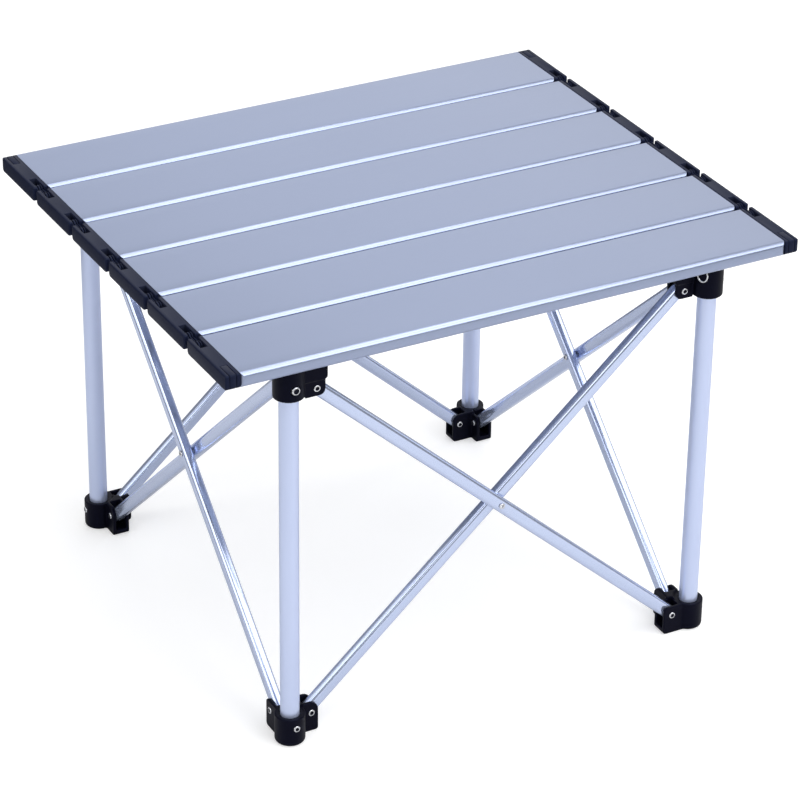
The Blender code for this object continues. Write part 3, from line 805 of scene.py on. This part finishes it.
def makeButton():
    # the snap button with its plate and its spring strip inside the leg, and a black core in its dimple as
    # painted shade for its hollow
    size, height = buttonSizes, legSizes["buttonHeight"]
    pad, strip, bend = size["padHalf"], size["stripHalf"], size["bendMiddle"]
    outside, inside = size["sheet"]
    low = height - size["stripLength"]
    tip = legPlace + Vector((0, -size["tip"], height))
    button = addRod("snapButton", tip, legPlace + Vector((0, -size["root"], height)),
                    size["radius"], facets["tip"])
    roundEdges(button, lambda middle, direction: middle.y < tip.y + near, size["corner"], steps=5)
    carve(button, addRod("dimple", tip - Vector((0, size["over"], 0)),
                         tip + Vector((0, size["dimpleDepth"], 0)), size["dimple"], facets["dimple"]))
    join(button,
         addBlock("pad", legPlace + Vector((-pad, -outside, height - pad)),
                  legPlace + Vector((pad, -inside, height + pad))),
         addBlock("strip", legPlace + Vector((-strip, -outside, low)),
                  legPlace + Vector((strip, -inside, height))),
         addRod("bend", legPlace + Vector((-strip, -bend, low)),
                legPlace + Vector((strip, -bend, low)), size["bend"], facets["pin"]))
    smoothShade(button, angle=35)
    # a black plug inside the dimple: painted shade that darkens the button's hollow
    shadeCore = addRod("shadeCore", tip + Vector((0, size["shadeCoreStart"], 0)),
                  tip + Vector((0, size["shadeCoreEnd"], 0)), size["shadeCore"], facets["dimple"])
    smoothShade(shadeCore, angle=35)
    return button, shadeCore


rivetLow = legPlace + Vector((0, -hubSizes["sleeve"], legSizes["rivetHeight"]))
rivetLength = hubSizes["sleeve"] + hubSizes["bore"] + rivetSizes["sleeveEnd"]
# each rivet with the bodies that it rides on, or none where it rides on its top hub
rivetParts = [
    ("rivetFootX", legBody, forkRivet("rivetFootX", table["footPivot"], table["braceStep"], False)),
    ("rivetFootY", legBody, forkRivet("rivetFootY", table["footPivot"], 0.0, True)),
    ("rivetTopX", None, forkRivet("rivetTopX", table["topPivot"], 0.0, False)),
    ("rivetTopY", None, forkRivet("rivetTopY", table["topPivot"], table["braceStep"], True)),
    ("rivetSleeve", legBody, makeRivet(
        "rivetSleeve", rivetLow, rivetLow + Vector((0, rivetLength, 0)),
        rivetSizes["sleeveHead"], rivetSizes["sleeveHollow"], both=False)),
    ("eyelet", None, makeEyelet()),
]
for name, bodies, shell in rivetParts:
    for number, corner in enumerate(cornerNames):
        body = bodies[number] if bodies else "top_" + corner
        placePiece(copyOf(shell, f"{name}_{corner}", turned(number)), body, steelFinish)
    drop(shell)
button, shadeCore = makeButton()
crossOut = braceSizes["halfDepth"] + rivetSizes["crossGap"]
crossLow = Vector((0, plane - crossOut, (table["topPivot"] + table["footPivot"]) / 2))
crossRivet = makeRivet("crossRivet", crossLow, crossLow + Vector((0, table["braceStep"] + 2 * crossOut, 0)),
                       rivetSizes["crossHead"], rivetSizes["crossHollow"])
for number, corner in enumerate(cornerNames):
    placePiece(copyOf(button, "snapButton_" + corner, turned(number)), "snap_button_" + corner,
               steelFinish, ["snap_button_" + corner])
    # the black plug in the dimple is painted shade
    placePiece(copyOf(shadeCore, "buttonShadeCore_" + corner, turned(number)), "snap_button_" + corner,
               hubFinish)
    side = sideNames[number]
    placePiece(copyOf(crossRivet, "crossRivet_" + side, turned(number)), rivetBody[number],
               steelFinish, ["crossing_rivet_" + side])
drop(button)
drop(shadeCore)
drop(crossRivet)
print("rivets and buttons made")


# pale floor and soft studio light

studio = {
    # a white sheet under the table, for its reflection in the metal: it fades between the two
    # distances of sheet, and its middle lies opposite to sheetShift
    "sheetShift": (-0.14, 0.26, 0), "sheet": (0.80, 1.06), "sheetColour": 0.70, "farColour": 0.12,
    "sheetGlow": 0.45, "farGlow": 1.0, "floor": 14, "below": 0.0002, "aim": (0, 0, 0.15),
    "world": 0.22, "backdrop": 1.0,
    "lamps": [
        # name, place, size, brightness of its face
        ("frontRight", (1.0, -1.3, 2.0), (2.1, 2.7), 1.85),
        ("frontLeft", (-2.7, -1.3, 1.45), (2.5, 2.0), 1.7),
        ("front", (0.3, -3.1, 1.85), (3.3, 2.1), 1.95),
        ("behind", (1.3, 2.8, 1.62), (3.6, 3.0), 0.82),
        ("left", (-2.4, 0.4, 1.1), (1.6, 1.8), 1.2),
        ("above", (0.3, 0.1, 2.8), (2.4, 2.4), 1.75),
        ("behindLeft", (-2.9, 1.7, 1.5), (2.2, 2.2), 0.6),
        ("right", (2.9, -0.1, 1.5), (2.4, 2.2), 0.8),
    ],
}


def addStudio():
    clearSelection()
    bpy.ops.mesh.primitive_plane_add(size=studio["floor"], location=(0, 0, -studio["below"]))
    floor = bpy.context.object
    floor.name = "floor"
    paint = bpy.data.materials.new("pale floor")
    paint.use_nodes = True
    shader = paint.node_tree.nodes["Principled BSDF"]
    shader.inputs["Roughness"].default_value = 0.9
    shader.inputs["Emission Color"].default_value = (1, 1, 1, 1)
    tree = paint.node_tree
    place = node(tree, "ShaderNodeTexCoord")
    away = node(tree, "ShaderNodeVectorMath", operation="LENGTH")
    middle = node(tree, "ShaderNodeMapping")
    middle.inputs["Location"].default_value = studio["sheetShift"]
    wire(tree, place.outputs["Object"], middle.inputs["Vector"])
    wire(tree, middle.outputs["Vector"], away.inputs[0])
    paler, brighter = (node(tree, "ShaderNodeMapRange", interpolation_type="SMOOTHSTEP") for _ in range(2))
    for change, inside, outside in (
            (paler, "sheetColour", "farColour"), (brighter, "sheetGlow", "farGlow")):
        change.inputs["From Min"].default_value, change.inputs["From Max"].default_value = studio["sheet"]
        change.inputs["To Min"].default_value = studio[inside]
        change.inputs["To Max"].default_value = studio[outside]
        wire(tree, away.outputs["Value"], change.inputs["Value"])
    wire(tree, paler.outputs["Result"], shader.inputs["Base Color"])
    # the glow whitens the floor in the picture and doesn't light the table
    seen = node(tree, "ShaderNodeLightPath")
    glow = node(tree, "ShaderNodeMath", operation="MULTIPLY")
    wire(tree, seen.outputs["Is Camera Ray"], glow.inputs[0])
    wire(tree, brighter.outputs["Result"], glow.inputs[1])
    wire(tree, glow.outputs["Value"], shader.inputs["Emission Strength"])
    floor.data.materials.append(paint)
    world = bpy.data.worlds.new("studio")
    bpy.context.scene.world = world
    bpy.context.scene.view_settings.view_transform = "Standard"
    world.use_nodes = True
    sky = world.node_tree.nodes["Background"]
    sky.inputs["Color"].default_value = (1, 1, 1, 1)
    seen = node(world.node_tree, "ShaderNodeLightPath")
    strength = node(world.node_tree, "ShaderNodeMapRange")
    strength.inputs["To Min"].default_value = studio["world"]
    strength.inputs["To Max"].default_value = studio["backdrop"]
    wire(world.node_tree, seen.outputs["Is Camera Ray"], strength.inputs["Value"])
    wire(world.node_tree, strength.outputs["Result"], sky.inputs["Strength"])
    for name, place, size, brightness in studio["lamps"]:
        bpy.ops.object.light_add(type="AREA", location=place)
        lamp = bpy.context.object
        lamp.name = name
        lamp.data.shape = "RECTANGLE"
        lamp.data.size, lamp.data.size_y = size
        lamp.data.energy = brightness * math.pi * size[0] * size[1]
        aim = Vector(studio["aim"]) - Vector(place)
        lamp.rotation_euler = aim.to_track_quat("-Z", "Y").to_euler()


addStudio()
print("studio made")
